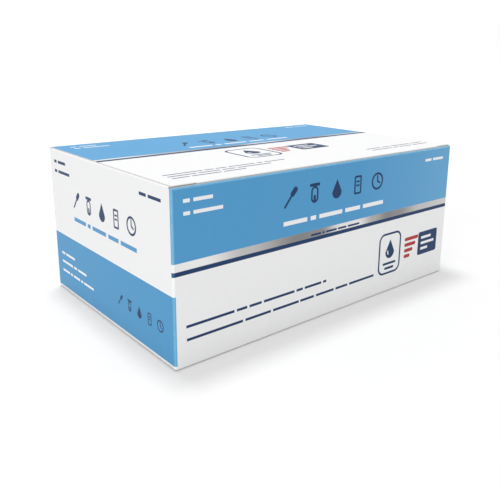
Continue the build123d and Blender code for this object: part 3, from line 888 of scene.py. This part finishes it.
def plastic(name, colour, roughness, ribbed=None, **settings):
    """Moulded plastic, with fine upright ribs round a cap if one is named."""
    material, tree, shader = new_material(name, **settings)
    height, mottle = use_group(tree, moulded)
    if ribbed:
        low, high = corner_mm(ribbed)
        (x, y, z), _ = place_mm(tree)
        turn = (x - (low.x + high.x) / 2).math("ARCTAN2", y - (low.y + high.y) / 2)
        ridge = (turn * CAP_RIBS).math("SINE")
        side = z.under(high.z - 1.4, 0.8) * z.over(low.z + 1.0, 0.6)
        height = height + ridge * side * 3.0
        mottle = mottle + ridge * side * 0.5
    join(tree, tinted(tree, colour, mottle, 0.12), shader.inputs["Base Color"])
    join(tree, mottle * 0.12 + roughness, shader.inputs["Roughness"])
    add_bump(tree, shader, height, 0.05)
    return material


def dress_goods():
    sheets = (
        ("instruction_leaflet", "thin_paper", THIN_PAPER, 0.75, 0.02, draw_leaflet),
        ("procedure_card", "card_stock", CARD_WHITE, 0.5, 0.02, draw_card),
        ("tube_box", "plain_board", PLAIN_BOARD, 0.6, 0.04, draw_tube_box),
    )
    for node, name, colour, roughness, depth, draw in sheets:
        dress(node, print_sheet(name, colour, roughness, depth, draw))
    peel = print_sheet("peel_paper", PEEL_PAPER, 0.62, 0.06, draw_peel_pack)
    for number in range(1, SWAB_STRIPS + 1):
        dress(f"swab_strip_{number}", peel)
    foil = foil_pouches()
    for number in range(1, POUCHES + 1):
        dress(f"test_pouch_{number:02d}", foil)
    dress("bottle_block", foam_block())
    tip = plastic("natural_plastic", NATURAL_PLASTIC, 0.35, Subsurface_Weight=0.3,
                  Subsurface_Scale=0.002)
    for kind, colour in CAP_COLOURS.items():
        holder = f"{kind}_bottle" if kind.startswith("reagent") else f"{kind}_vial"
        dress(holder, bottle_material(f"{kind}_plastic", holder, colour))
        cap = f"{kind}_cap"
        dress(cap, plastic(f"{kind}_cap_plastic", colour, 0.38, cap))
        if kind.startswith("reagent"):
            dress(f"{kind}_tip", tip)


# The crease: the board that bends between the back panel and the lid
def make_crease(printed):
    """A bent strip of board between the lid's back end and the back panel's top."""
    centre_y, centre_z = HALF_WIDTH - CREASE_RADIUS, HEIGHT - CREASE_RADIUS
    turns = [math.radians(90.0 * step / CREASE_STEPS) for step in range(CREASE_STEPS + 1)]
    section = [(HALF_WIDTH, HEIGHT - CREASE_END)]
    for radius, angles in ((CREASE_RADIUS, turns), (CREASE_INNER_RADIUS, turns[::-1])):
        for turn in angles:
            section.append((centre_y + radius * math.cos(turn),
                            centre_z + radius * math.sin(turn)))
    section.append((HALF_WIDTH - BOARD, HEIGHT - CREASE_END))
    half = HALF_LENGTH - CREASE_INSET
    stations = [-half + 2 * half * k / CREASE_STATIONS for k in range(CREASE_STATIONS + 1)]
    count = len(section)
    points = [(x * MM, y * MM, z * MM) for x in stations for y, z in section]
    faces = []
    for k in range(len(stations) - 1):
        for i in range(count):
            j = (i + 1) % count
            faces.append((k * count + i, k * count + j, (k + 1) * count + j,
                          (k + 1) * count + i))
    faces.append(tuple(range(count))[::-1])
    faces.append(tuple((len(stations) - 1) * count + i for i in range(count)))
    mesh = bpy.data.meshes.new("lid_crease")
    mesh.from_pydata(points, [], faces)
    mesh.materials.append(printed)
    crease = bpy.data.objects.new("lid_crease", mesh)
    bpy.context.scene.collection.objects.link(crease)
    for face in mesh.polygons:
        face.use_smooth = len(face.vertices) == 4
    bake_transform(crease)


def crease_print():
    material, tree, shader = new_material("printed_board_crease", Specular_IOR_Level=0.22)
    height, mottle = use_group(tree, fibre, 1.2, 1.0)
    fold_tone = blend_colour(tree, (mottle + 0.5) * 0.14, PRINT_BLUE, COATED_WHITE)
    join(tree, fold_tone, shader.inputs["Base Color"])
    join(tree, mottle * 0.12 + 0.45, shader.inputs["Roughness"])
    add_bump(tree, shader, height, 0.03)
    return material


# Stage: floor, background and lights
def make_stage():
    mesh = bpy.data.meshes.new("floor")
    corners = [(x * FLOOR_REACH, y * FLOOR_REACH, -FLOOR_DROP)
               for x, y in ((-1, -1), (1, -1), (1, 1), (-1, 1))]
    mesh.from_pydata(corners, [], [(0, 1, 2, 3)])
    floor = bpy.data.objects.new("floor", mesh)
    bpy.context.scene.collection.objects.link(floor)
    material, tree, shader = new_material("floor_white", Roughness=0.6)
    (x, y, _), where = place_mm(tree)
    join(tree, tinted(tree, FLOOR_WHITE, noise(tree, where, 0.02) - 0.5, 0.02),
         shader.inputs["Base Color"])
    shader.inputs["Specular IOR Level"].default_value = 0.1
    glow = tree.nodes.new("ShaderNodeEmission")
    path = tree.nodes.new("ShaderNodeLightPath")
    seen = Number(tree, path.outputs["Is Camera Ray"])
    seen = seen.larger(Number(tree, path.outputs["Is Glossy Ray"]))
    far = root_of_squares(x, y).over(700.0, 900.0)
    join(tree, seen * (FLOOR_GLOW + far * FAR_FLOOR_GLOW), glow.inputs["Strength"])
    both = tree.nodes.new("ShaderNodeAddShader")
    tree.links.new(shader.outputs[0], both.inputs[0])
    tree.links.new(glow.outputs[0], both.inputs[1])
    tree.links.new(both.outputs[0], tree.nodes["Material Output"].inputs["Surface"])
    mesh.materials.append(material)


def make_world():
    world = bpy.data.worlds.new("studio")
    world.use_nodes = True
    tree = world.node_tree
    path = tree.nodes.new("ShaderNodeLightPath")
    seen = Number(tree, path.outputs["Is Camera Ray"])
    for label in ("Is Glossy Ray", "Is Transmission Ray"):
        seen = seen.larger(Number(tree, path.outputs[label]))
    join(tree, seen * (1.0 - WORLD_LIGHT) + WORLD_LIGHT,
         tree.nodes["Background"].inputs["Strength"])
    tree.nodes["Background"].inputs["Color"].default_value = (1.0, 1.0, 1.0, 1.0)
    bpy.context.scene.world = world


def make_lamp(name, place, size, power):
    """A round soft lamp that points at the middle of the carton."""
    data = bpy.data.lights.new(name, "AREA")
    data.shape = "DISK"
    data.size = size
    data.energy = power
    lamp = bpy.data.objects.new(name, data)
    bpy.context.scene.collection.objects.link(lamp)
    lamp.location = place
    aim = Vector(LAMP_AIM) - lamp.location
    lamp.rotation_euler = aim.to_track_quat("-Z", "Y").to_euler()


def dress(node, material):
    """Gives a piece of the frame its material."""
    slots = parts[node].material_slots
    if len(slots):
        for slot in slots:
            slot.link = "OBJECT"
            slot.material = material
    else:
        parts[node].data.materials.append(material)


make_camera()
dress("carton", print_carton())
dress("lid", print_lid())
dress_goods()
make_crease(crease_print())
make_stage()
make_world()
for lamp in LAMPS:
    make_lamp(*lamp)
bpy.context.scene.view_settings.view_transform = "Standard"
